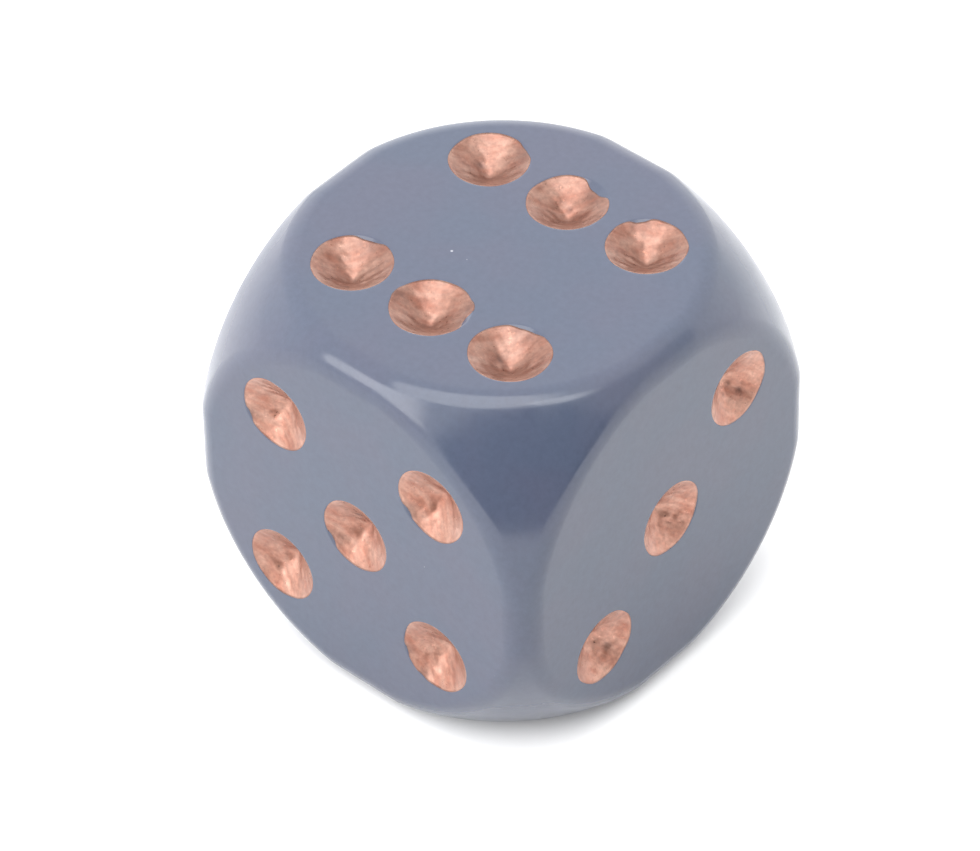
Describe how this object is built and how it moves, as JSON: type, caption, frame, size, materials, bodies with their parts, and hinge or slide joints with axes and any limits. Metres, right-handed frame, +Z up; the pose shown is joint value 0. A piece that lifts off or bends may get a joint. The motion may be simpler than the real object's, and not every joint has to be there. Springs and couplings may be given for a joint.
{
  "type": "gaming die",
  "caption": "Gaming die: a moulded plastic cube with rounded corners and paint-lined conical pips on every face, rolled to give a random number.",
  "frame": {"origin": "middle of the underside, where the face with one pip rests", "axes": "+Z up out of the face with six pips, -Y out of the face with five, +X out of the face with three"},
  "size_m": [0.016, 0.016, 0.016],
  "materials": {
    "plastic": "moulded, slightly dulled gloss",
    "pip_paint": "brushed metallic copper paint"
  },
  "bodies": {
    "root": {"body": "plastic", "pip_paint_six_1": "pip_paint", "pip_paint_six_2": "pip_paint", "pip_paint_six_3": "pip_paint", "pip_paint_six_4": "pip_paint", "pip_paint_six_5": "pip_paint", "pip_paint_six_6": "pip_paint", "pip_paint_five_1": "pip_paint", "pip_paint_five_2": "pip_paint", "pip_paint_five_3": "pip_paint", "pip_paint_five_4": "pip_paint", "pip_paint_five_5": "pip_paint", "pip_paint_three_1": "pip_paint", "pip_paint_three_2": "pip_paint", "pip_paint_three_3": "pip_paint", "pip_paint_two_1": "pip_paint", "pip_paint_two_2": "pip_paint", "pip_paint_four_1": "pip_paint", "pip_paint_four_2": "pip_paint", "pip_paint_four_3": "pip_paint", "pip_paint_four_4": "pip_paint", "pip_paint_one_1": "pip_paint"}
  },
  "joints": []
}
